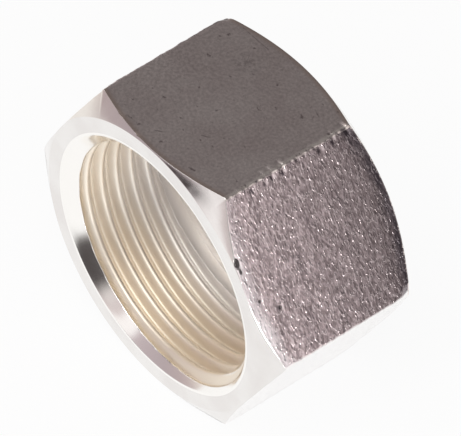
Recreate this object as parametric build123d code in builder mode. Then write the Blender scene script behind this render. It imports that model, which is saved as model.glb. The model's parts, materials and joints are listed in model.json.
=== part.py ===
# Union nut for a cutting-ring tube fitting, forged and turned in one piece of steel.
# Millimetres. The nut lies on one flat, +Z up. Its axis is Y and its mouth faces -Y.
# The origin is on the axis, half way along the nut.
from build123d import *
from build123d.topology import SkipClean

import os
from math import ceil, radians, sqrt, tan

# Metric fine thread, right-handed
thread_d = 30.0
thread_pitch = 2.0
crest_share = 1 / 4  # flat left on the crests, as a share of the pitch
root_share = 1 / 8  # flat at the bottom of the groove, as a share of the pitch
flank_angle = 30.0  # each flank, from a plane square to the axis
thread_end_angle = 135.0  # where the groove runs out, round the axis from the top

# Hexagon
nut_length = 20.0
flat_wall = 2.75  # steel between the bottom of the thread and each flat
corner_radius = 0.4

# Turned ends: a cone at each end leaves a round face just inside the flats
end_face_inset = 0.15
end_chamfer_angle = 30.0

# Inside, from the mouth to the rear
countersink_margin = 0.45  # how far the mouth opens beyond the thread
countersink_angle = 90.0
relief_margin = 0.25  # how far the relief is cut beyond the thread
relief_width = 1.9
shoulder_length = 6.3  # from the relief to the rear face: seat cone and tube bore
seat_inset = 1.0  # how far the seat cone's mouth lies inside the thread
seat_angle = 90.0
tube_d = 22.0
tube_clearance = 0.125  # all round the tube
rear_edge_break = 0.4

# Worked out from the sizes above
thread_r = thread_d / 2
root_width = root_share * thread_pitch
crest_width = crest_share * thread_pitch
groove_width = thread_pitch - crest_width
thread_depth = (groove_width - root_width) / 2 / tan(radians(flank_angle))
minor_r = thread_r - thread_depth

flat_distance = thread_r + flat_wall
corner_reach = flat_distance * 2 / sqrt(3)
end_face_r = flat_distance - end_face_inset
end_chamfer_length = (corner_reach - end_face_r) * tan(radians(end_chamfer_angle))

countersink_r = thread_r + countersink_margin
countersink_depth = (countersink_r - minor_r) / tan(radians(countersink_angle / 2))
relief_r = thread_r + relief_margin
relief_end = nut_length - shoulder_length
relief_start = relief_end - relief_width
seat_r = thread_r - seat_inset
tube_bore_r = tube_d / 2 + tube_clearance
seat_end = relief_end + (seat_r - tube_bore_r) / tan(radians(seat_angle / 2))

# The thread is cut turn by turn. The cutter reaches a little inside the crests. The first
# turn starts in the open mouth and the last one ends in the middle of the relief.
cutter_overreach = 0.2
cutter_inner_r = minor_r - cutter_overreach
cutter_width = groove_width + 2 * cutter_overreach * tan(radians(flank_angle))
thread_end = relief_end - relief_width / 2
turn_count = ceil(thread_end / thread_pitch)
turn_starts = [thread_end - k * thread_pitch for k in range(turn_count, 0, -1)]

mouth_y = -nut_length / 2
mouth_plane = Plane((0, mouth_y, 0), x_dir=(1, 0, 0), z_dir=(0, -1, 0))
# Half sections: X is the radius and Y the depth from the mouth
section_plane = Plane((0, mouth_y, 0), x_dir=(1, 0, 0), z_dir=(0, 0, 1))


with BuildPart() as thread_turn:
    # One right-handed turn, from the top of the nut
    with BuildLine() as turn_path:
        Helix(thread_pitch, thread_pitch, thread_r, direction=(0, 1, 0))
    path_start = Plane(turn_path.line @ 0, x_dir=(0, 0, 1), z_dir=turn_path.line % 0)
    with BuildSketch(path_start):
        with BuildLine():
            Polyline(
                (0, -root_width / 2),
                (0, root_width / 2),
                (cutter_inner_r - thread_r, cutter_width / 2),
                (cutter_inner_r - thread_r, -cutter_width / 2),
                close=True,
            )
        make_face()
    sweep(path=turn_path.line, is_frenet=True)


with BuildPart() as bore_quarter:
    # Countersink, thread core, relief, seat cone and tube bore in one turned outline
    with BuildSketch(section_plane):
        with BuildLine():
            Polyline(
                (0, 0),
                (countersink_r, 0),
                (minor_r, countersink_depth),
                (minor_r, relief_start),
                (relief_r, relief_start),
                (relief_r, relief_end),
                (seat_r, relief_end),
                (tube_bore_r, seat_end),
                (tube_bore_r, nut_length - rear_edge_break),
                (tube_bore_r + rear_edge_break, nut_length),
                (0, nut_length),
                close=True,
            )
        make_face()
    revolve(axis=Axis.Y, revolution_arc=90)


with BuildPart() as union_nut:
    # Hexagon blank
    with BuildSketch(mouth_plane):
        RegularPolygon(flat_distance, 6, major_radius=False)
    extrude(amount=-nut_length)
    fillet(union_nut.edges().filter_by(Axis.Y), corner_radius)

    # Both ends turned to a cone
    with BuildSketch(section_plane):
        with BuildLine():
            Polyline(
                (0, 0),
                (end_face_r, 0),
                (corner_reach, end_chamfer_length),
                (corner_reach, nut_length - end_chamfer_length),
                (end_face_r, nut_length),
                (0, nut_length),
                close=True,
            )
        make_face()
    revolve(axis=Axis.Y, mode=Mode.INTERSECT)

    # Bored through. The bore's quarters aren't merged, so each crest of the thread is made
    # of short faces, and none winds right round the bore.
    with SkipClean():
        for quarter in range(4):
            add(bore_quarter.part, rotation=(0, 90 * quarter, 0), mode=Mode.SUBTRACT)

        # Thread
        for turn_start in turn_starts:
            with Locations(Location((0, mouth_y + turn_start, 0), (0, thread_end_angle, 0))):
                add(thread_turn.part, mode=Mode.SUBTRACT)

union_nut.part.label = "union_nut"

os.makedirs("parts", exist_ok=True)
export_step(union_nut.part, "parts/union_nut.step")
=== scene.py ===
"""Looks of the union nut: one closed mesh with forged flats, turned ends and a silvered thread.

Lengths are millimetres in the nut's frame until the mesh is written, which is in metres.
An angle round the axis starts at the top (+Z) and grows towards +X. A depth starts at the mouth.
"""

import json
import math

import bmesh
import bpy
import numpy as np
from mathutils import Matrix, Vector


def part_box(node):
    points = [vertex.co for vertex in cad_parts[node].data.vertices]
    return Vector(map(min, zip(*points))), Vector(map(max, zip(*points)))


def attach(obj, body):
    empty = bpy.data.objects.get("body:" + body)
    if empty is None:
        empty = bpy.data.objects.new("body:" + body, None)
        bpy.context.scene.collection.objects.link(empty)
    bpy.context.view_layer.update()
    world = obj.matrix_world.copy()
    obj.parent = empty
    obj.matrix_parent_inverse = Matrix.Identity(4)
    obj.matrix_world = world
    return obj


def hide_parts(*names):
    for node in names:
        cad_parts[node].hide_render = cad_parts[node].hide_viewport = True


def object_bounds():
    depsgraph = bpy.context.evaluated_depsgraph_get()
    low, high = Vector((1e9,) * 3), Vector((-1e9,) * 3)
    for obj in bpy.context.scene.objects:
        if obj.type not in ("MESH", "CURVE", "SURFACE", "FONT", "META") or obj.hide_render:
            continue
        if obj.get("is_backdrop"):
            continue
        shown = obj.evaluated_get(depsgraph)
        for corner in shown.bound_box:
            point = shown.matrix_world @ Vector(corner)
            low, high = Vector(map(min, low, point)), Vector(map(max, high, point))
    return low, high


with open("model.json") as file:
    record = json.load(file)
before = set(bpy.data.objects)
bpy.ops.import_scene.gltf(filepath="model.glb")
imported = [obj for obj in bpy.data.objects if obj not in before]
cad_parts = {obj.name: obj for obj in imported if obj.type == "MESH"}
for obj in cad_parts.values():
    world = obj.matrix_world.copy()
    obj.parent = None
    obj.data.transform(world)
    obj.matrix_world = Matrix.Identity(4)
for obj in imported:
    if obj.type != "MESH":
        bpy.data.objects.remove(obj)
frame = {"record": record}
cad_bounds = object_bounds()

MM = 0.001
NODE = "union_nut"

# Read from the frame
lowest, highest = (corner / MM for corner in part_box(NODE))
dims = {mount["name"]: mount["dims"] for mount in frame["record"]["mounts"]}
MOUTH_Y = lowest.y
LENGTH = highest.y - lowest.y
FLAT_DISTANCE = highest.z
MINOR_R = dims["thread"]["r_mm"]
TUBE_BORE_R = dims["tube_bore"]["r_mm"]

# Hexagon and its turned ends
SIDES = 6
SIDE_ANGLE = math.radians(360 / SIDES)
CORNER_RADIUS = 0.4
END_FACE_INSET = 0.15
END_FACE_R = FLAT_DISTANCE - END_FACE_INSET
END_CHAMFER = math.radians(30)

# Half of a flat's length between its rounded corners, and the length of a corner's arc
FLAT_HALF = (FLAT_DISTANCE - CORNER_RADIUS) * math.tan(SIDE_ANGLE / 2)
CORNER_ARC = CORNER_RADIUS * SIDE_ANGLE

# Thread
PITCH = 2.0
CREST_WIDTH = PITCH / 4
ROOT_WIDTH = PITCH / 8
FLANK = math.radians(30)
THREAD_R = MINOR_R + (PITCH - CREST_WIDTH - ROOT_WIDTH) / 2 / math.tan(FLANK)

# Rest of the inside, from the mouth to the rear
COUNTERSINK_MARGIN = 0.45
RELIEF_MARGIN = 0.25
RELIEF_WIDTH = 1.9
SHOULDER_LENGTH = 6.3
SEAT_INSET = 1.0
REAR_BREAK = 0.4

# The countersink and the seat are 90 degree cones, so they are as deep as they narrow
COUNTERSINK_R = THREAD_R + COUNTERSINK_MARGIN
COUNTERSINK_END = COUNTERSINK_R - MINOR_R
RELIEF_R = THREAD_R + RELIEF_MARGIN
RELIEF_END = LENGTH - SHOULDER_LENGTH
RELIEF_START = RELIEF_END - RELIEF_WIDTH
SEAT_R = THREAD_R - SEAT_INSET
SEAT_END = RELIEF_END + SEAT_R - TUBE_BORE_R

# Roundings of the edges, and how far from an edge a flat face gets its nearest row
END_FACE_ROUND = 0.2
FLAT_EDGE_ROUND = 0.1
MOUTH_ROUND = 0.12
INSIDE_ROUND = 0.08
COUNTERSINK_ROUND = 0.03
CREST_ROUND, ROOT_ROUND = 0.22, 0.14
CREST_INSET = 0.03  # brings the middle of a rounded crest level with the true one
SUPPORT = 0.3
MOST_OF_SIDE = 0.45  # how much of a side one rounding may take

# Density of the mesh
ROUGH_COLUMNS = 84
SMOOTH_COLUMNS = 60
CORNER_COLUMNS = 5
FLAT_ROWS = 120
ROUND_STEPS = 3
INSIDE_COLUMNS = 180
MERGE_DISTANCE = 0.0002

# Rows down the bore. The first ones are evenly spaced, to a little beyond the countersink.
# After them each half of a groove has its rows beside its bottom, on its flank and by its crest.
FIRST_MOUTH_ROW = 0.42
MOUTH_ROW_STEP = 0.07
ROWS_BEYOND_COUNTERSINK = 0.6
ROOT_ROWS = (-0.03, 0.04)
FLANK_ROWS = (0.3, 0.5, 0.7)  # as shares of the flank
CREST_ROWS = (-0.12, -0.02, 0.09)
# How many rows there are from the tube bore's first one to the last, on the rear face
TUBE_BORE_ROWS = 2 * (ROUND_STEPS + 1) + 2

# The flats that are smooth, counted from the top flat towards +X. The others keep a forged skin.
SMOOTH_FLATS = (0, 3)


class Grain:
    """Seeded band-limited noise with unit spread. Streaks are `long` by `wide` millimetres, and
    the pattern repeats after a tile."""

    TILE = 24.0

    def __init__(self, seed, step, long, wide, band=4.0):
        self.count = int(round(self.TILE / step))
        self.step = step
        noise = np.random.default_rng(seed).standard_normal((self.count, self.count))
        frequency = np.fft.fftfreq(self.count, step)
        across, along = np.meshgrid(frequency, frequency, indexing="ij")
        reach = (across * long) ** 2 + (along * wide) ** 2
        kept = np.exp(-2 * reach) - np.exp(-2 * reach * band**2)
        tile = np.fft.ifft2(np.fft.fft2(noise) * kept).real
        self.tile = tile / tile.std()

    def __call__(self, u, v):
        x, y = np.asarray(u) / self.step, np.asarray(v) / self.step
        i, j = np.floor(x).astype(int), np.floor(y).astype(int)
        a, b = x - i, y - j
        near = [[self.tile[(i + p) % self.count, (j + q) % self.count] for q in (0, 1)] for p in (0, 1)]
        low = near[0][0] * (1 - a) + near[1][0] * a
        high = near[0][1] * (1 - a) + near[1][1] * a
        return low * (1 - b) + high * b


streaks = Grain(11, 0.08, long=0.62, wide=0.26, band=2.2)
waves = Grain(12, 0.2, long=2.6, wide=1.8, band=3.0)
dents = Grain(13, 0.08, long=0.5, wide=0.5, band=2.5)


def dimple(u, v, centre, half_size):
    """1 in the middle of a dimple, falling smoothly to 0 about two half sizes away."""
    across = (u - centre[0]) / half_size[0]
    along = (v - centre[1]) / half_size[1]
    return np.exp(-(across**2 + along**2))


# Marks seen on the flat at the camera's right: place (along the flat, y), half size and depth
MARKED_FLAT = 1
CHIP = ((-3.15, -9.95), (0.75, 0.32), 0.35)
SKIN_PITS = [
    ((1.91, -8.65), (0.22, 0.2), 0.10),
    ((3.68, -6.66), (0.24, 0.22), 0.12),
    ((-3.7, 4.35), (0.2, 0.2), 0.07),
]
# Dents along the edge between that flat and the top one
EDGE_DENTS = [
    ((-9.6, -5.0), (0.3, 0.25), 0.11),
    ((-9.55, -3.3), (0.25, 0.2), 0.12),
    ((-9.6, -2.3), (0.35, 0.24), 0.15),
    ((-9.7, -0.85), (0.35, 0.24), 0.15),
    ((-9.6, 4.1), (0.3, 0.25), 0.10),
    ((-9.7, 5.9), (0.4, 0.25), 0.11),
    ((-9.9, 7.9), (0.5, 0.3), 0.12),
]
# Nicks in the top flat's front edge
FRONT_NICKS = [((-6.22, -9.38), (0.25, 0.25), 0.12), ((-2.65, -9.95), (0.3, 0.25), 0.14)]
# Bright nicks along the top flat's edge with the flat at the right
TOP_EDGE_NICKS = [
    ((9.9, -6.9), (0.25, 0.2), 0.07),
    ((9.85, -3.3), (0.3, 0.2), 0.11),
    ((9.8, -2.3), (0.3, 0.22), 0.13),
    ((9.85, -0.85), (0.35, 0.24), 0.14),
    ((9.9, 5.9), (0.3, 0.2), 0.10),
    ((9.9, 7.7), (0.5, 0.3), 0.16),
]

# The forged flats roll over towards both ends: how far they drop, and over what length. By the
# front edge the share of the drop grows along the flat.
ROLL_DROP, ROLL_LENGTH = 0.12, 0.9
FRONT_ROLL_AT, FRONT_ROLL = (-8, 3), (0.3, 1.2)

# The skins stand up and down in fine streaks and long waves, and lie a little under the true flat
STREAK_HEIGHT = 0.006
FORGED_WAVES, FORGED_UNDER = 0.012, 0.035
SMOOTH_WAVES, SMOOTH_UNDER = 0.003, 0.006
NOISE_SHIFT = 4.1  # how far along the noise each flat starts from the one before

# Wear beside the corners: how wide, how deep, how uneven, and the smooth flats' share of it
WEAR_WIDTH = 0.9
WEAR_DEPTH, WEAR_UNEVEN = 0.05, 0.03
SMOOTH_WEAR = 0.4


def end_roll(u, y):
    """1 at a flat's curved rear edge, the front's share at its front edge, and 0 a few millimetres
    from them."""
    edge = LENGTH / 2 - (np.hypot(FLAT_DISTANCE, u) - END_FACE_R) * math.tan(END_CHAMFER)
    share = np.exp(-np.maximum(edge - np.abs(y), 0) / ROLL_LENGTH)
    return np.where(y > 0, share, np.interp(u, FRONT_ROLL_AT, FRONT_ROLL) * share)


def corner_share(u):
    """0 on a flat's middle, growing to 1 beside its corners."""
    corner = FLAT_DISTANCE * math.tan(SIDE_ANGLE / 2)
    return np.clip((np.abs(u) - corner + WEAR_WIDTH) / WEAR_WIDTH, 0.0, 1.0) ** 2


def flat_height(flat, u, y):
    """The skin's height above the true flat, which is at most 0."""
    along = u + NOISE_SHIFT * flat
    wear = corner_share(u) * (WEAR_DEPTH + WEAR_UNEVEN * dents(along, y))
    marks = []
    if flat in SMOOTH_FLATS:
        height = SMOOTH_WAVES * waves(along, y) - SMOOTH_UNDER - SMOOTH_WEAR * wear
        if flat == 0:
            marks = FRONT_NICKS + TOP_EDGE_NICKS
    else:
        height = STREAK_HEIGHT * streaks(along, y) + FORGED_WAVES * waves(along, y)
        height = height - FORGED_UNDER - wear - ROLL_DROP * end_roll(u, y)
        if flat == MARKED_FLAT:
            marks = [CHIP, *SKIN_PITS, *EDGE_DENTS]
    for centre, half_size, depth in marks:
        height = height - depth * dimple(u, y, centre, half_size)
    return np.minimum(height, 0.0)


def rounded(points, radii):
    """An open outline with its inner corners rounded, always with the same number of points."""
    made = [points[0]]
    for before, corner, after, radius in zip(points, points[1:], points[2:], radii):
        a, b = np.subtract(before, corner), np.subtract(after, corner)
        length_a, length_b = np.linalg.norm(a), np.linalg.norm(b)
        a, b = a / length_a, b / length_b
        half_angle = math.acos(float(np.clip(a @ b, -1, 1))) / 2
        reach = min(radius / math.tan(half_angle), MOST_OF_SIDE * length_a, MOST_OF_SIDE * length_b)
        bisector = (a + b) / np.linalg.norm(a + b)
        centre = corner + bisector * reach / math.cos(half_angle)
        start, end = corner + a * reach - centre, corner + b * reach - centre
        sweep = math.pi - 2 * half_angle
        for k in range(ROUND_STEPS + 1):
            share = k / ROUND_STEPS
            from_start = math.sin((1 - share) * sweep) / math.sin(sweep)
            from_end = math.sin(share * sweep) / math.sin(sweep)
            made.append(tuple(centre + start * from_start + end * from_end))
    made.append(points[-1])
    return made


def placed(angle, radius, depth):
    """Points of the frame at an angle, a radius and a depth."""
    return np.stack([radius * np.sin(angle), MOUTH_Y + depth, radius * np.cos(angle)], -1)


def outline_columns():
    """Round the hexagon: flat, place along it, x, z, the normal's angle and the length so far."""
    arc_centre = (FLAT_DISTANCE - CORNER_RADIUS) / math.cos(SIDE_ANGLE / 2)
    for flat in range(SIDES):
        turn = math.radians(360 / SIDES * flat)
        start = flat * (2 * FLAT_HALF + CORNER_ARC)
        count = SMOOTH_COLUMNS if flat in SMOOTH_FLATS else ROUGH_COLUMNS
        for u in np.linspace(-FLAT_HALF, FLAT_HALF, count + 1):
            x = FLAT_DISTANCE * math.sin(turn) + u * math.cos(turn)
            z = FLAT_DISTANCE * math.cos(turn) - u * math.sin(turn)
            yield flat, u, x, z, turn, start + FLAT_HALF + u
        middle = turn + SIDE_ANGLE / 2
        for k in range(1, CORNER_COLUMNS):
            normal = turn + SIDE_ANGLE * k / CORNER_COLUMNS
            x = arc_centre * math.sin(middle) + CORNER_RADIUS * math.sin(normal)
            z = arc_centre * math.cos(middle) + CORNER_RADIUS * math.cos(normal)
            u = FLAT_HALF + CORNER_RADIUS * (normal - turn)
            yield flat, u, x, z, normal, start + 2 * FLAT_HALF + CORNER_ARC * k / CORNER_COLUMNS


# Rear corners that are knocked blunt: the flat before the corner, how far, and half the length
BLUNT_CORNERS = [(5, 0.45, 0.9), (1, 0.4, 0.9)]
BLUNT_HALF_WIDTH = 0.6
BLUNT_FROM_REAR = 1.3


def skin_height(flat, u, y):
    """How far the skin stands above the true outline. On a corner's arc it goes from one flat's
    skin to the next one's."""
    share = min(max((u - FLAT_HALF) / CORNER_ARC, 0.0), 1.0)
    next_height = flat_height((flat + 1) % SIDES, u - 2 * FLAT_HALF - CORNER_ARC, y)
    height = (1 - share) * flat_height(flat, u, y) + share * next_height
    centre = (0.0, -MOUTH_Y - BLUNT_FROM_REAR)
    for before, depth, half_length in BLUNT_CORNERS:
        if flat in (before, (before + 1) % SIDES):
            side = 1 if flat == before else -1
            off_corner = u - side * FLAT_HALF - side * CORNER_ARC / 2
            height = height - depth * dimple(off_corner, y, centre, (BLUNT_HALF_WIDTH, half_length))
    return height


def end_profile(outer_r):
    """Front end in (radius, depth): end face, cone and the flat's first point."""
    cone_depth = (outer_r - END_FACE_R) * math.tan(END_CHAMFER)
    points = [(END_FACE_R - SUPPORT, 0), (END_FACE_R, 0), (outer_r, cone_depth), (outer_r, LENGTH / 2)]
    return rounded(points, (END_FACE_ROUND, FLAT_EDGE_ROUND))[:-1]


def outer_skin():
    """Grid of points from the front face, over the flats, to the rear face, with each column's
    length round the hexagon and each point's distances from its flat's front and rear edges."""
    grid, lengths, ends = [], [], []
    for flat, u, x, z, normal, length in outline_columns():
        reach, angle = math.hypot(x, z), math.atan2(x, z)
        lean = math.cos(angle - normal)
        cone_depth = (reach - END_FACE_R) * math.tan(END_CHAMFER)
        front_r = reach + float(skin_height(flat, u, MOUTH_Y + cone_depth)) / lean
        rear_r = reach + float(skin_height(flat, u, -MOUTH_Y - cone_depth)) / lean
        front, rear = end_profile(front_r), end_profile(rear_r)
        depth = np.linspace(front[-1][1], LENGTH - rear[-1][1], FLAT_ROWS + 1)[1:-1]
        radius = reach + skin_height(flat, u, MOUTH_Y + depth) / lean
        profile = front + list(zip(radius, depth)) + [(r, LENGTH - d) for r, d in reversed(rear)]
        grid.append(placed(angle, *np.array(profile).T))
        lengths.append(length)
        depth = np.array(profile)[:, 1]
        ends.append(np.stack([depth - front[-1][1], LENGTH - rear[-1][1] - depth], -1))
    return np.array(grid), np.array(lengths), np.array(ends)


def soft_max(a, b, width):
    """The larger of two heights, turning smoothly from one to the other over about a width."""
    return (a + b + np.sqrt((a - b) ** 2 + width**2)) / 2


def thread_wall(angle, depth):
    """Radius of the threaded wall. A groove's middle is at depth 0 at the top of the nut."""
    phase = (depth / PITCH - angle / (2 * math.pi)) % 1.0
    off_middle = np.minimum(phase, 1 - phase) * PITCH
    wall = THREAD_R - (off_middle - ROOT_WIDTH / 2) / math.tan(FLANK)
    crested = soft_max(wall, MINOR_R - CREST_INSET, CREST_ROUND)
    return -soft_max(-crested, -THREAD_R, ROOT_ROUND)


# The thread's thin start, between the countersink and the first groove, is pressed over into
# that groove, for most of a turn. It fills the groove as far as a line beside its middle.
FILLED_TO = -0.1
FILLED_SLOPE = 6.0
FILLED_TURN = [math.radians(angle) for angle in (0, 150, 200, 325, 358)]
FILLED_SHARE = (0, 0, 1, 1, 0)


def mouth_wall(angle, depth):
    """Radius of the bore where the countersink cuts the thread."""
    thread = thread_wall(angle, depth)
    off_middle = depth - PITCH * angle / (2 * math.pi)
    filled = np.minimum(thread, MINOR_R + FILLED_SLOPE * np.maximum(off_middle - FILLED_TO, 0))
    wall = thread + (filled - thread) * np.interp(angle, FILLED_TURN, FILLED_SHARE)
    return soft_max(wall, COUNTERSINK_R - depth, COUNTERSINK_ROUND)


def thread_offsets():
    """Depths in one pitch, from a groove's middle, where the thread's outline needs a row."""
    root, crest = ROOT_WIDTH / 2, (PITCH - CREST_WIDTH) / 2
    half = [root + beside for beside in ROOT_ROWS]
    half += [root + (crest - root) * share for share in FLANK_ROWS]
    half += [crest + beside for beside in CREST_ROWS]
    half.append(PITCH / 2)
    return [0.0] + half + [PITCH - offset for offset in reversed(half[:-1])]


def inside_skin():
    """Grid of points from the front face, down the bore, to the rear face. The last column
    lies on the first, one turn of the thread later."""
    mouth_rows = np.arange(FIRST_MOUTH_ROW, COUNTERSINK_END + ROWS_BEYOND_COUNTERSINK, MOUTH_ROW_STEP)
    turns = range(-1, int(RELIEF_START / PITCH) + 1)
    rows = np.array([turn * PITCH + offset for turn in turns for offset in thread_offsets()])
    first_wall = (float(mouth_wall(0, mouth_rows[0])), mouth_rows[0])
    rim = [(COUNTERSINK_R + SUPPORT, 0), (COUNTERSINK_R, 0), first_wall]
    rear = [
        (RELIEF_R - SUPPORT, RELIEF_START),
        (RELIEF_R, RELIEF_START),
        (RELIEF_R, RELIEF_END),
        (SEAT_R, RELIEF_END),
        (TUBE_BORE_R, SEAT_END),
        (TUBE_BORE_R, LENGTH - REAR_BREAK),
        (TUBE_BORE_R + REAR_BREAK, LENGTH),
        (TUBE_BORE_R + REAR_BREAK + SUPPORT, LENGTH),
    ]
    rim = rounded(rim, [MOUTH_ROUND])[:-1]
    rear = rounded(rear, [INSIDE_ROUND] * (len(rear) - 2))[1:]
    grid = []
    for column in range(INSIDE_COLUMNS + 1):
        angle = 2 * math.pi * column / INSIDE_COLUMNS
        aligned = np.clip(rows + PITCH * column / INSIDE_COLUMNS, mouth_rows[-1], RELIEF_START)
        depth = np.concatenate([mouth_rows, aligned])
        profile = rim + list(zip(mouth_wall(angle, depth), depth)) + rear
        grid.append(placed(angle, *np.array(profile).T))
    return np.array(grid)


# The countersink's zone reaches this far off its cone, fades over this much of that, and ends this
# far beyond the cone. Its rim is in the zone down to this depth.
CONE_REACH, CONE_FADE, CONE_BEYOND = 0.07, 0.05, 0.05
RIM_DEPTH = 0.3


def on_countersink(inside):
    """1 where the inside is the countersink or its rim, fading to 0 over its edge with the thread."""
    radius = np.hypot(inside[..., 0], inside[..., 2])
    depth = inside[..., 1] - MOUTH_Y
    off_cone = np.abs(radius - (COUNTERSINK_R - depth))
    cone = np.clip((CONE_REACH - off_cone) / CONE_FADE, 0, 1)
    cone[depth > COUNTERSINK_END + CONE_BEYOND] = 0
    cone[depth < RIM_DEPTH] = 1
    return cone


def quads(columns, rows, first, wrap, inward):
    """Faces of a grid whose vertices are numbered column by column."""
    last = columns if wrap else columns - 1
    c, r = np.meshgrid(np.arange(last), np.arange(rows - 1), indexing="ij")
    here, beside = first + c * rows + r, first + (c + 1) % columns * rows + r
    corners = [here, beside, beside + 1, here + 1]
    if inward:
        corners.reverse()
    return np.stack(corners, -1).reshape(-1, 4)


def zipper(inner, inner_angle, outer, outer_angle):
    """Triangles, facing the rear, between two rings of vertices in one plane."""

    def steps(angle, ring):
        middle = (angle + np.append(angle[1:], angle[0] + 2 * math.pi)) / 2
        return [(a, ring) for a in middle]

    at = [0, 0]
    rings = inner, outer
    for _, ring in sorted(steps(inner_angle, 0) + steps(outer_angle, 1)):
        here = rings[ring][at[ring] % len(rings[ring])]
        at[ring] += 1
        after = rings[ring][at[ring] % len(rings[ring])]
        other = rings[1 - ring][at[1 - ring] % len(rings[1 - ring])]
        yield (here, after, other) if ring == 1 else (after, here, other)


FORGED, SMOOTH, TURNED, SILVERED = range(4)
UNROLLED = "unrolled"
ZONES = "zones"


def quad_kinds(outer_shape, inside_shape):
    """The materials of the outer skin's quads, and then of the inner one's."""
    columns, rows = outer_shape
    inside_columns, inside_rows = inside_shape
    flats = np.array([column[0] for column in outline_columns()])
    smooth = np.isin(np.repeat(flats, rows - 1), SMOOTH_FLATS)
    # The flats take in the last step of the rounding at each end of them
    end_rows = len(end_profile(FLAT_DISTANCE))
    row = np.tile(np.arange(rows - 1), columns)
    on_flat = (row >= end_rows - 2) & (row < rows - end_rows + 1)
    outer_kinds = np.where(on_flat, np.where(smooth, SMOOTH, FORGED), TURNED)
    row = np.tile(np.arange(inside_rows - 1), inside_columns - 1)
    inside_kinds = np.where(row < inside_rows - TUBE_BORE_ROWS, SILVERED, TURNED)
    return np.concatenate([outer_kinds, inside_kinds])


def end_triangles(points, outer_shape, inside_shape):
    """Triangles that close the front and the rear, between the hexagon and the bore."""
    columns, rows = outer_shape
    inside_rows = inside_shape[1]
    inner_angle = np.arange(INSIDE_COLUMNS) * 2 * math.pi / INSIDE_COLUMNS
    triangles = []
    for outer_row, inside_row, at_front in ((0, 0, True), (rows - 1, inside_rows - 1, False)):
        outer_ring = np.arange(columns) * rows + outer_row
        inner_ring = columns * rows + np.arange(INSIDE_COLUMNS) * inside_rows + inside_row
        angle = np.arctan2(points[outer_ring, 0], points[outer_ring, 2]) % (2 * math.pi)
        start = int(np.argmin(angle))
        outer_ring, angle = np.roll(outer_ring, -start), np.roll(angle, -start)
        for corners in zipper(inner_ring, inner_angle, outer_ring, angle):
            triangles.append(corners[::-1] if at_front else corners)
    return np.array(triangles)


def unrolled_places(points, corners, lengths, outer_shape, inside_shape):
    """Length round the nut and y of each corner of each face."""
    columns, rows = outer_shape
    inside_columns, inside_rows = inside_shape
    inside_lengths = 2 * math.pi * np.arange(inside_columns) / INSIDE_COLUMNS * THREAD_R
    along = np.concatenate([np.repeat(lengths, rows), np.repeat(inside_lengths, inside_rows)])
    places = np.stack([along[corners], points[corners, 1]], -1)
    # The outer skin's last quads end on its first column, a whole turn further on
    last_quads = slice(4 * (columns - 1) * (rows - 1), 4 * columns * (rows - 1))
    whole_turn = SIDES * (2 * FLAT_HALF + CORNER_ARC)
    places[last_quads, 0] += np.where(corners[last_quads] < rows, whole_turn, 0.0)
    return places


def write_map(mesh, name, values):
    """Gives each corner of each face two values."""
    layer = mesh.uv_layers.new(name=name)
    layer.uv.foreach_set("vector", values.astype(np.float32).ravel())


def nut_mesh():
    """The whole nut as one mesh, with a map that unrolls its skins, in metres, and one of zones."""
    outer, lengths, ends = outer_skin()
    inside = inside_skin()
    outer_shape, inside_shape = outer.shape[:2], inside.shape[:2]
    points = np.concatenate([outer.reshape(-1, 3), inside.reshape(-1, 3)])
    first_inside = outer_shape[0] * outer_shape[1]

    outer_quads = quads(*outer_shape, 0, wrap=True, inward=False)
    inside_quads = quads(*inside_shape, first_inside, wrap=False, inward=True)
    triangles = end_triangles(points, outer_shape, inside_shape)
    faces = outer_quads.tolist() + inside_quads.tolist() + triangles.tolist()
    kinds = np.append(quad_kinds(outer_shape, inside_shape), np.full(len(triangles), TURNED))
    mesh = bpy.data.meshes.new(NODE)
    mesh.from_pydata(points * MM, [], faces)
    mesh.polygons.foreach_set("material_index", kinds.astype(np.int32))
    mesh.polygons.foreach_set("use_smooth", np.ones(len(faces), bool))

    corners = np.zeros(len(mesh.loops), np.int32)
    mesh.loops.foreach_get("vertex_index", corners)
    places = unrolled_places(points, corners, lengths, outer_shape, inside_shape)
    write_map(mesh, UNROLLED, places * MM)
    zones = np.zeros((len(points), 2))
    zones[:first_inside] = ends.reshape(-1, 2)
    zones[first_inside:, 0] = on_countersink(inside).ravel()
    write_map(mesh, ZONES, zones[corners])

    shape = bmesh.new()
    shape.from_mesh(mesh)
    bmesh.ops.remove_doubles(shape, verts=shape.verts, dist=MERGE_DISTANCE * MM)
    shape.to_mesh(mesh)
    shape.free()
    mesh.validate()
    return mesh


# The mix node has inputs for several kinds of data. These are the ones for colours.
MIX_SHARE, MIX_A, MIX_B, MIX_RESULT = 0, 6, 7, 2


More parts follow.
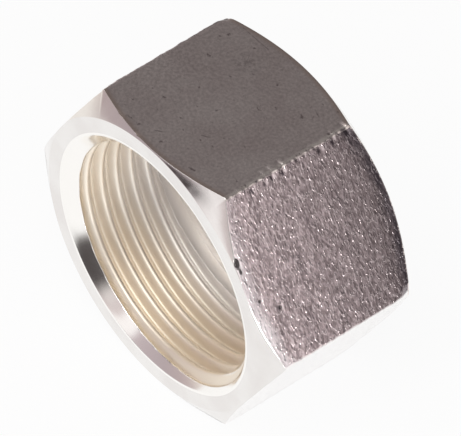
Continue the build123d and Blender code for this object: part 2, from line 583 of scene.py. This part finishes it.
class Nodes:
    """Short calls that add and link the nodes of one material or world."""

    def __init__(self, owner):
        owner.use_nodes = True
        self.tree = owner.node_tree
        self.tree.nodes.clear()

    def add(self, kind, settings=None, **inputs):
        """A node with its settings, and its inputs by name, with _ for each space."""
        node = self.tree.nodes.new(kind)
        for name, value in (settings or {}).items():
            setattr(node, name, value)
        for name, value in inputs.items():
            self.set(node, name.replace("_", " "), value)
        return node

    def set(self, node, key, value):
        """Sets an input, by its name or number, to a value or to another node's output."""
        if isinstance(value, bpy.types.NodeSocket):
            self.tree.links.new(value, node.inputs[key])
        else:
            node.inputs[key].default_value = value

    def math(self, operation, *values, clamp=False):
        node = self.add("ShaderNodeMath", {"operation": operation, "use_clamp": clamp})
        for index, value in enumerate(values):
            self.set(node, index, value)
        return node.outputs[0]

    def vector(self, operation, *values):
        node = self.add("ShaderNodeVectorMath", {"operation": operation})
        for index, value in enumerate(values):
            self.set(node, index, value)
        return node.outputs["Value" if operation in ("DISTANCE", "DOT_PRODUCT", "LENGTH") else "Vector"]

    def ramp(self, value, low, high, start=0.0, end=1.0):
        """Goes smoothly from start to end while the value goes from low to high."""
        node = self.add("ShaderNodeMapRange", {"interpolation_type": "SMOOTHSTEP"}, Value=value)
        for name, amount in (("From Min", low), ("From Max", high), ("To Min", start), ("To Max", end)):
            self.set(node, name, amount)
        return node.outputs["Result"]

    def mix(self, share, a, b, blend="MIX"):
        node = self.add("ShaderNodeMix", {"data_type": "RGBA", "blend_type": blend})
        self.set(node, MIX_SHARE, share)
        for index, colour in ((MIX_A, a), (MIX_B, b)):
            linked = isinstance(colour, bpy.types.NodeSocket)
            self.set(node, index, colour if linked else (*colour, 1.0))
        return node.outputs[MIX_RESULT]

    def noise(self, place, scale, detail=3.0, roughness=0.5, stretch=(1.0, 1.0, 1.0)):
        stretched = self.vector("MULTIPLY", place, stretch)
        amounts = {"Scale": scale, "Detail": detail, "Roughness": roughness}
        return self.add("ShaderNodeTexNoise", Vector=stretched, **amounts).outputs["Fac"]

    def part(self, vector, axis):
        """A vector's X, Y or Z."""
        return self.add("ShaderNodeSeparateXYZ", Vector=vector).outputs[axis]


def metal(name, colour, roughness, bump, bump_depth):
    """A metal whose colour, roughness and bump are functions of its nodes."""
    material = bpy.data.materials.new(name)
    nodes = Nodes(material)
    shader = nodes.add("ShaderNodeBsdfPrincipled", Metallic=1.0)
    nodes.set(shader, "Base Color", colour(nodes))
    nodes.set(shader, "Roughness", roughness(nodes))
    relief = nodes.add("ShaderNodeBump", Height=bump(nodes), Strength=1.0, Distance=bump_depth * MM)
    nodes.set(shader, "Normal", relief.outputs["Normal"])
    nodes.add("ShaderNodeOutputMaterial", Surface=shader.outputs["BSDF"])
    return material


def unrolled(nodes):
    """Place in the unrolled map, in metres: X round the nut and Y along its axis."""
    return nodes.add("ShaderNodeUVMap", {"uv_map": UNROLLED}).outputs["UV"]


def zone(nodes, axis):
    """Distance in millimetres from a flat's front (X) or rear (Y) edge. Inside the nut, X is 1 on
    the countersink."""
    return nodes.part(nodes.add("ShaderNodeUVMap", {"uv_map": ZONES}).outputs["UV"], axis)


def place(nodes):
    """Place in the nut's own frame, in metres."""
    return nodes.add("ShaderNodeTexCoord").outputs["Object"]


def skin_noise(nodes, scale, detail, roughness=0.5, along=1.0):
    """Noise in the unrolled map. Its scale counts per metre, as all noise here does, and an
    `along` below 1 draws it out round the nut."""
    return nodes.noise(unrolled(nodes), scale, detail, roughness, (along, 1.0, 1.0))


# Places round the nut in the unrolled map, in metres: the middles of the top flat and of the one on its
# right, and the edge between them
TOP_MIDDLE = FLAT_HALF * MM
RIGHT_MIDDLE = 3 * TOP_MIDDLE + CORNER_ARC * MM
RIGHT_EDGE = 2 * TOP_MIDDLE + CORNER_ARC / 2 * MM
# The flat below the one on the right is painted paler, as a painted reflection, and has a smoother
# bump: where it starts and ends, and over what length the two change
LOWER_FLAT = RIGHT_MIDDLE + TOP_MIDDLE + CORNER_RADIUS * math.radians(50) * MM
LOWER_FLAT_END = LOWER_FLAT + 2 * TOP_MIDDLE
LOWER_FLAT_FADE = 0.0004


def on_lower_flat(nodes):
    """1 on the lower flat, whose paler colour is a painted reflection."""
    along = nodes.part(unrolled(nodes), "X")
    after = nodes.ramp(along, LOWER_FLAT - LOWER_FLAT_FADE, LOWER_FLAT)
    before = nodes.ramp(along, LOWER_FLAT_END + LOWER_FLAT_FADE, LOWER_FLAT_END)
    return nodes.math("MULTIPLY", after, before)


def spot(nodes, centre, half_size):
    """1 on an uneven oval of the unrolled map, placed and sized in millimetres."""
    offset = nodes.vector("SUBTRACT", unrolled(nodes), tuple(value * MM for value in (*centre, 0.0)))
    scaled = nodes.vector("MULTIPLY", offset, (1 / half_size[0] / MM, 1 / half_size[1] / MM, 0.0))
    distance = nodes.vector("LENGTH", scaled)
    ragged = nodes.math("MULTIPLY_ADD", skin_noise(nodes, 3000, 2), 0.9, distance)
    return nodes.ramp(ragged, 1.6, 1.1)


# Hollows on the flat at the right, painted dark as shade: place (along the flat, y), half size and how
# dark
HOLLOWS = [
    ((-3.2, -9.68), (0.8, 0.32), 0.95),
    ((-2.2, -9.6), (0.45, 0.18), 0.9),
    ((1.91, -8.65), (0.24, 0.2), 0.7),
    ((3.68, -6.66), (0.3, 0.22), 0.7),
    ((3.2, -6.5), (0.2, 0.12), 0.6),
]


# Colours of the forged skin: its blotches, the painted highlight at the front and the painted shade at
# the rear of a flat, the lower flat's painted reflection, the painted highlight along the rear edge,
# and the painted shade in the hollows
FORGED_DARK, FORGED_PALE = (0.44, 0.37, 0.37), (0.72, 0.62, 0.625)
FORGED_FRONT_SHEEN, FORGED_REAR_SHADE = (1.0, 0.93, 0.94), (0.24, 0.21, 0.225)
FORGED_LOWER_REFLECTION = (0.97, 0.95, 0.94)
REAR_EDGE_HIGHLIGHT = (0.92, 0.82, 0.79)
HOLLOW_SHADE = (0.03, 0.025, 0.025)


def forged_material():
    def colour(nodes):
        blotches = nodes.ramp(skin_noise(nodes, 2600, 3, along=0.5), 0.35, 0.65)
        base = nodes.mix(blotches, FORGED_DARK, FORGED_PALE)
        # Painted light and shade: lighter at the front, darker towards the rear
        front_light_rear_shade = nodes.math("MULTIPLY_ADD", nodes.part(unrolled(nodes), "Y"), -42.0, 1.02)
        base = nodes.mix(1.0, base, front_light_rear_shade, "MULTIPLY")

        # The painted highlight at the front and the painted shade at the rear have uneven limits
        uneven = skin_noise(nodes, 500, 3, 0.6, along=0.5)
        along = nodes.part(unrolled(nodes), "X")
        below = nodes.ramp(along, RIGHT_MIDDLE - 0.009, RIGHT_MIDDLE + 0.002, 0.35, 1.0)
        from_front = nodes.math("MULTIPLY_ADD", uneven, 2.2, zone(nodes, "X"))
        front = nodes.math("MULTIPLY", nodes.ramp(from_front, 3.2, 1.3), below)
        base = nodes.mix(front, base, FORGED_FRONT_SHEEN)
        from_rear = nodes.math("MULTIPLY_ADD", uneven, 2.4, zone(nodes, "Y"))
        base = nodes.mix(nodes.ramp(from_rear, 2.9, 1.2), base, FORGED_REAR_SHADE)
        # The lower flat is painted paler, as a painted reflection
        base = nodes.mix(on_lower_flat(nodes), base, FORGED_LOWER_REFLECTION)
        # A painted highlight along the rear edge
        base = nodes.mix(nodes.ramp(zone(nodes, "Y"), 0.14, 0.04), base, REAR_EDGE_HIGHLIGHT)

        # The hollows are painted dark, as painted shade
        dark = 0.0
        for (u, y), half_size, share in HOLLOWS:
            painted_hollow = nodes.math("MULTIPLY", spot(nodes, (RIGHT_MIDDLE / MM + u, y), half_size), share)
            dark = nodes.math("MAXIMUM", dark, painted_hollow)
        return nodes.mix(dark, base, HOLLOW_SHADE)

    def roughness(nodes):
        return nodes.ramp(skin_noise(nodes, 1800, 3), 0.3, 0.7, 0.14, 0.22)

    def bump(nodes):
        fine = skin_noise(nodes, 4200, 2, along=0.6)
        raised = nodes.ramp(skin_noise(nodes, 3200, 2, along=0.45), 0.54, 0.66)
        sunk = nodes.ramp(skin_noise(nodes, 2400, 2, along=0.5), 0.31, 0.41)
        coarse = nodes.math("MULTIPLY", nodes.math("ADD", raised, sunk), 0.47)
        grain = nodes.math("MULTIPLY_ADD", fine, 0.35, coarse)
        depth = nodes.math("MULTIPLY_ADD", on_lower_flat(nodes), -0.75, 1.0)
        return nodes.math("MULTIPLY", grain, depth)

    return metal("forged_steel", colour, roughness, bump, 0.06)


# Short scratches on the top flat: both ends (along the flat, y), and half the width
SCRATCHES = [
    ((-7.62, 8.58), (-3.5, 8.63), 0.05),
    ((6.3, 6.9), (7.3, 6.6), 0.06),
    ((6.9, 6.2), (7.25, 5.7), 0.04),
    ((1.6, -4.6), (2.5, -4.1), 0.07),
    ((-4.4, 7.0), (-3.1, 4.9), 0.05),
    ((-2.0, -7.9), (-1.4, -7.5), 0.07),
]
# Where a scratch ends and where it is full, in half widths from its middle
SCRATCH_END, SCRATCH_FULL = 1.6, 0.5
# A smudge on the top flat
SMUDGE = (-3.4, 5.5)


def scratch(nodes, start, end, half_width):
    """1 on a short line in the top flat's part of the unrolled map."""
    start, end = (Vector((u * MM + TOP_MIDDLE, y * MM, 0.0)) for u, y in (start, end))
    along = end - start
    offset = nodes.vector("SUBTRACT", unrolled(nodes), tuple(start))
    share = nodes.vector("DOT_PRODUCT", offset, tuple(along / along.length_squared))
    nearest = nodes.add("ShaderNodeCombineXYZ", X=nodes.math("ADD", share, 0.0, clamp=True))
    turned = nodes.add("ShaderNodeVectorRotate", {"rotation_type": "Z_AXIS"}, Vector=nearest.outputs[0])
    nodes.set(turned, "Angle", math.atan2(along.y, along.x))
    foot = nodes.vector("MULTIPLY", turned.outputs["Vector"], (along.length,) * 3)
    distance = nodes.vector("DISTANCE", offset, foot)
    return nodes.ramp(distance, half_width * SCRATCH_END * MM, half_width * SCRATCH_FULL * MM)


def on_right_edge(nodes):
    """1 on the worn edge between the top flat and the one on its right, which also carries a painted
    highlight.
    """
    off_edge = nodes.math("SUBTRACT", nodes.part(unrolled(nodes), "X"), RIGHT_EDGE)
    off_edge = nodes.math("ABSOLUTE", off_edge)
    patchy_wear_and_highlight = nodes.ramp(skin_noise(nodes, 900, 3), 0.38, 0.55, 0.25, 1.0)
    return nodes.math("MULTIPLY", nodes.ramp(off_edge, 0.0005, 0.0001), patchy_wear_and_highlight)


# Colours of the smooth skin: its clouds, its ends, its marks, and the worn edge with its painted
# highlight
SMOOTH_DARK, SMOOTH_PALE = (0.54, 0.465, 0.45), (0.62, 0.55, 0.53)
SMOOTH_ENDS = (0.46, 0.37, 0.33)
MARK = (0.20, 0.16, 0.16)
WORN_EDGE_HIGHLIGHT = (0.98, 0.90, 0.84)


def smooth_material():
    def marks(nodes):
        """1 in pits, and less on the smudge and on the broken lines of the scratches."""
        pits = nodes.ramp(skin_noise(nodes, 1100, 3, 0.55, along=0.7), 0.35, 0.29)
        at_smudge = (SMUDGE[0] * MM + TOP_MIDDLE, SMUDGE[1] * MM, 0.0)
        off_smudge = nodes.vector("DISTANCE", unrolled(nodes), at_smudge)
        patches = nodes.ramp(skin_noise(nodes, 2200, 4, 0.65), 0.4, 0.65)
        smudge = nodes.math("MULTIPLY", nodes.ramp(off_smudge, 0.0024, 0.0002, 0.0, 0.7), patches)
        made = nodes.math("MAXIMUM", pits, smudge)
        broken = nodes.ramp(skin_noise(nodes, 1500, 3), 0.38, 0.58, 0.15, 0.8)
        for start, end, half_width in SCRATCHES:
            line = nodes.math("MULTIPLY", scratch(nodes, start, end, half_width), broken)
            made = nodes.math("MAXIMUM", made, line)
        return made

    def colour(nodes):
        cloud = nodes.ramp(skin_noise(nodes, 150, 4, 0.6), 0.3, 0.7)
        base = nodes.mix(cloud, SMOOTH_DARK, SMOOTH_PALE)
        speckle = nodes.ramp(skin_noise(nodes, 2900, 4, 0.65), 0.3, 0.7, 0.78, 1.06)
        base = nodes.mix(1.0, base, speckle, "MULTIPLY")
        from_end = nodes.math("MINIMUM", zone(nodes, "X"), zone(nodes, "Y"))
        base = nodes.mix(nodes.ramp(from_end, 0.7, 0.0), base, SMOOTH_ENDS)
        # The worn edge is lighter: wear, and a painted highlight
        base = nodes.mix(on_right_edge(nodes), base, WORN_EDGE_HIGHLIGHT)
        return nodes.mix(nodes.math("MULTIPLY", marks(nodes), 0.75), base, MARK)

    def roughness(nodes):
        skin = nodes.ramp(skin_noise(nodes, 3000, 3), 0.3, 0.7, 0.36, 0.42)
        return nodes.math("MULTIPLY_ADD", on_right_edge(nodes), -0.2, skin)

    def bump(nodes):
        return skin_noise(nodes, 5200, 3)

    return metal("smooth_steel", colour, roughness, bump, 0.008)


def lathe_lines(nodes):
    """Fine rings round the axis, by radius and by depth."""
    at = place(nodes)
    radius = nodes.vector("LENGTH", nodes.vector("MULTIPLY", at, (1.0, 0.0, 1.0)))
    depth = nodes.vector("DOT_PRODUCT", at, (0.0, 1.0, 0.0))
    across = nodes.math("ADD", radius, depth)
    combined = nodes.add("ShaderNodeCombineXYZ", X=across)
    return nodes.noise(combined.outputs[0], 9000, 2)


TURNED_DARK, TURNED_PALE = (0.82, 0.79, 0.77), (0.88, 0.86, 0.84)


def turned_material():
    def colour(nodes):
        cloud = nodes.ramp(nodes.noise(place(nodes), 220, 3), 0.3, 0.7)
        return nodes.mix(cloud, TURNED_DARK, TURNED_PALE)

    def roughness(nodes):
        return nodes.ramp(nodes.noise(place(nodes), 900, 3), 0.3, 0.7, 0.12, 0.18)

    return metal("turned_steel", colour, roughness, lathe_lines, 0.003)


# Colours of the plating: its clouds, painted light at the deep end, painted shade on the low side of
# the mouth, and the countersink
PLATING_DARK, PLATING_PALE = (0.98, 0.90, 0.785), (0.99, 0.93, 0.84)
PLATING_DEEP_LIGHT = (0.978, 0.943, 0.905)
PLATING_LOW_SHADE = (0.925, 0.84, 0.72)
PLATING_MOUTH = (0.98, 0.96, 0.93)


def silvered_material():
    def colour(nodes):
        cloud = nodes.ramp(skin_noise(nodes, 160, 3, along=0.4), 0.35, 0.7)
        plating = nodes.mix(cloud, PLATING_DARK, PLATING_PALE)
        y, z = nodes.part(place(nodes), "Y"), nodes.part(place(nodes), "Z")
        # Painted light: paler deeper in the bore
        plating = nodes.mix(nodes.ramp(y, -0.006, 0.0015), plating, PLATING_DEEP_LIGHT)
        # Painted shade: darker on the low side of the mouth
        low = nodes.math("MULTIPLY", nodes.ramp(z, -0.005, -0.013), nodes.ramp(y, 0.0015, -0.003))
        plating = nodes.mix(low, plating, PLATING_LOW_SHADE)
        return nodes.mix(zone(nodes, "X"), plating, PLATING_MOUTH)

    def roughness(nodes):
        cloud = nodes.ramp(skin_noise(nodes, 700, 3, along=0.3), 0.3, 0.7)
        satin = nodes.math("MULTIPLY_ADD", cloud, 0.06, 0.48)
        return nodes.math("MULTIPLY_ADD", zone(nodes, "X"), -0.35, satin)

    return metal("silvered_steel", colour, roughness, lathe_lines, 0.003)


def make_nut():
    """The nut's look, in place of its plain solid."""
    mesh = nut_mesh()
    for material in (forged_material(), smooth_material(), turned_material(), silvered_material()):
        mesh.materials.append(material)
    nut = bpy.data.objects.new("nut", mesh)
    bpy.context.scene.collection.objects.link(nut)
    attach(nut, "root")
    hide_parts(NODE)


# The photograph's view, fitted to the nut's edges. The camera looks from a distance, past the
# nut's middle by these lengths to the right and up.
PHOTO_WIDTH = 461
FOCAL_PIXELS = 11624.0
SENSOR_WIDTH = 36.0
CAMERA_AZIMUTH = math.radians(50.8)
CAMERA_ELEVATION = math.radians(47.4)
CAMERA_DISTANCE = 1232.0
CAMERA_RIGHT = 0.4725
CAMERA_UP = 0.2956
CLIP_START, CLIP_END = 0.05, 10.0


def make_camera():
    """A long lens that looks down on the mouth and two flats."""
    sine, cosine = math.sin(CAMERA_AZIMUTH), math.cos(CAMERA_AZIMUTH)
    level = math.cos(CAMERA_ELEVATION)
    back = Vector((sine * level, -cosine * level, math.sin(CAMERA_ELEVATION)))
    right = Vector((cosine, sine, 0.0))
    up = back.cross(right)
    camera = bpy.data.objects.new("camera", bpy.data.cameras.new("camera"))
    camera.data.sensor_width = SENSOR_WIDTH
    camera.data.lens = FOCAL_PIXELS / PHOTO_WIDTH * SENSOR_WIDTH
    camera.data.clip_start, camera.data.clip_end = CLIP_START, CLIP_END
    camera.location = (back * CAMERA_DISTANCE + right * CAMERA_RIGHT + up * CAMERA_UP) * MM
    camera.rotation_mode = "QUATERNION"
    camera.rotation_quaternion = Matrix((right, up, back)).transposed().to_quaternion()
    bpy.context.scene.collection.objects.link(camera)
    bpy.context.scene.camera = camera


def seen_directly(nodes):
    """1 for rays from the camera and for those in reflections."""
    path = nodes.add("ShaderNodeLightPath")
    direct = nodes.math("MAXIMUM", path.outputs["Is Camera Ray"], path.outputs["Is Glossy Ray"])
    return nodes.math("MAXIMUM", direct, path.outputs["Is Transmission Ray"])


# The floor's width in metres, and how much of what rays see of it is its own white
FLOOR_SIZE = 0.12
FLOOR_GLOW = 0.93


def make_floor():
    """A pale floor under the lowest flat, near white to the camera, with the nut's shadow."""
    half, z = FLOOR_SIZE / 2, lowest.z * MM
    corners = [(-half, -half, z), (half, -half, z), (half, half, z), (-half, half, z)]
    mesh = bpy.data.meshes.new("floor")
    mesh.from_pydata(corners, [], [(0, 1, 2, 3)])
    material = bpy.data.materials.new("floor")
    nodes = Nodes(material)
    plain = nodes.add("ShaderNodeBsdfDiffuse", Color=(0.9, 0.9, 0.9, 1.0))
    glow = nodes.add("ShaderNodeEmission", Color=(1.0, 1.0, 1.0, 1.0), Strength=1.0)
    mixed = nodes.add("ShaderNodeMixShader")
    share = nodes.math("MULTIPLY", seen_directly(nodes), FLOOR_GLOW)
    for index, value in enumerate((share, plain.outputs[0], glow.outputs[0])):
        nodes.set(mixed, index, value)
    nodes.add("ShaderNodeOutputMaterial", Surface=mixed.outputs[0])
    mesh.materials.append(material)
    floor = bpy.data.objects.new("floor", mesh)
    bpy.context.scene.collection.objects.link(floor)
    floor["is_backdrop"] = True


# What the metal sees round it: degrees from the nut's mouth side towards +X, and the light there
WALLS = [
    (-180, (0.10, 0.09, 0.10)),
    (-150, (0.28, 0.27, 0.27)),
    (-110, (0.35, 0.33, 0.33)),
    (-82, (0.97, 0.95, 0.93)),
    (-68, (0.80, 0.72, 0.67)),
    (-58, (0.50, 0.41, 0.41)),
    (-40, (0.46, 0.39, 0.41)),
    (-16, (0.54, 0.46, 0.48)),
    (-12, (1.00, 0.97, 0.97)),
    (-1, (1.00, 0.97, 0.97)),
    (3, (0.66, 0.57, 0.57)),
    (8, (0.66, 0.59, 0.59)),
    (18, (0.86, 0.82, 0.80)),
    (42, (0.96, 0.94, 0.92)),
    (95, (0.98, 0.97, 0.97)),
    (103, (0.80, 0.76, 0.77)),
    (115, (0.48, 0.44, 0.445)),
    (127, (0.14, 0.13, 0.14)),
    (140, (0.07, 0.06, 0.07)),
    (180, (0.10, 0.09, 0.10)),
]
# The ceiling and the ground, and the heights, in degrees, between which the walls turn into them
CEILING = (0.22, 0.21, 0.21)
CEILING_FROM, CEILING_TO = 32, 44
GROUND = (0.98, 0.95, 0.91)
GROUND_FROM, GROUND_TO = -11, -25
# Dark things in front of the mouth: direction, inner and outer half angle in degrees, light
DARK = [
    ((-0.35, -0.937, 0.03), 4, 11, (0.05, 0.04, 0.04)),
    ((0.46, -0.88, 0.10), 11, 21, (0.08, 0.07, 0.07)),
]


def make_studio():
    """The surroundings in the metal's reflections, white to the camera."""
    world = bpy.data.worlds.new("studio")
    bpy.context.scene.world = world
    nodes = Nodes(world)
    direction = nodes.add("ShaderNodeTexCoord").outputs["Generated"]
    parts = nodes.add("ShaderNodeSeparateXYZ", Vector=direction).outputs
    towards_mouth = nodes.math("MULTIPLY", parts["Y"], -1.0)
    azimuth = nodes.math("ARCTAN2", parts["X"], towards_mouth)
    turned = nodes.math("MULTIPLY_ADD", azimuth, 0.5 / math.pi, 0.5)
    walls = nodes.add("ShaderNodeValToRGB", Fac=turned)
    stops = walls.color_ramp.elements
    while len(stops) < len(WALLS):
        stops.new(0.5)
    for stop, (angle, light) in zip(stops, WALLS):
        stop.position = (angle + 180) / 360
        stop.color = (*light, 1.0)
    light = walls.outputs["Color"]
    for part, start, end in ((CEILING, CEILING_FROM, CEILING_TO), (GROUND, GROUND_FROM, GROUND_TO)):
        share = nodes.ramp(parts["Z"], math.sin(math.radians(start)), math.sin(math.radians(end)))
        light = nodes.mix(share, light, part)
    for towards, inner, outer, dark in DARK:
        facing = nodes.vector("DOT_PRODUCT", direction, tuple(Vector(towards).normalized()))
        share = nodes.ramp(facing, math.cos(math.radians(outer)), math.cos(math.radians(inner)))
        light = nodes.mix(share, light, dark)
    camera_ray = nodes.add("ShaderNodeLightPath").outputs["Is Camera Ray"]
    shown = nodes.mix(camera_ray, light, (1.0, 1.0, 1.0))
    background = nodes.add("ShaderNodeBackground", Color=shown, Strength=1.0)
    nodes.add("ShaderNodeOutputWorld", Surface=background.outputs[0])


def make_lamp(name, direction, distance, size, power):
    """A soft square lamp, in metres and watts, that faces the nut."""
    lamp = bpy.data.objects.new(name, bpy.data.lights.new(name, "AREA"))
    lamp.data.size = size
    lamp.data.energy = power
    aim = Vector(direction).normalized()
    lamp.location = aim * distance
    lamp.rotation_mode = "QUATERNION"
    lamp.rotation_quaternion = aim.to_track_quat("Z", "Y")
    bpy.context.scene.collection.objects.link(lamp)


make_camera()
make_nut()
make_floor()
make_studio()
make_lamp("key", (-0.1, -0.35, 0.93), distance=0.5, size=0.35, power=0.5)
make_lamp("mouth", (0.72, -0.65, -0.24), distance=0.5, size=0.1, power=1.0)
make_lamp("front", (0.32, -0.44, 0.84), distance=0.5, size=0.3, power=0.95)

bpy.context.scene.view_settings.view_transform = "Standard"

sizes = {"cad": cad_bounds, "visual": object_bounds()}
{name: [list(corner) for corner in corners] for name, corners in sizes.items()}
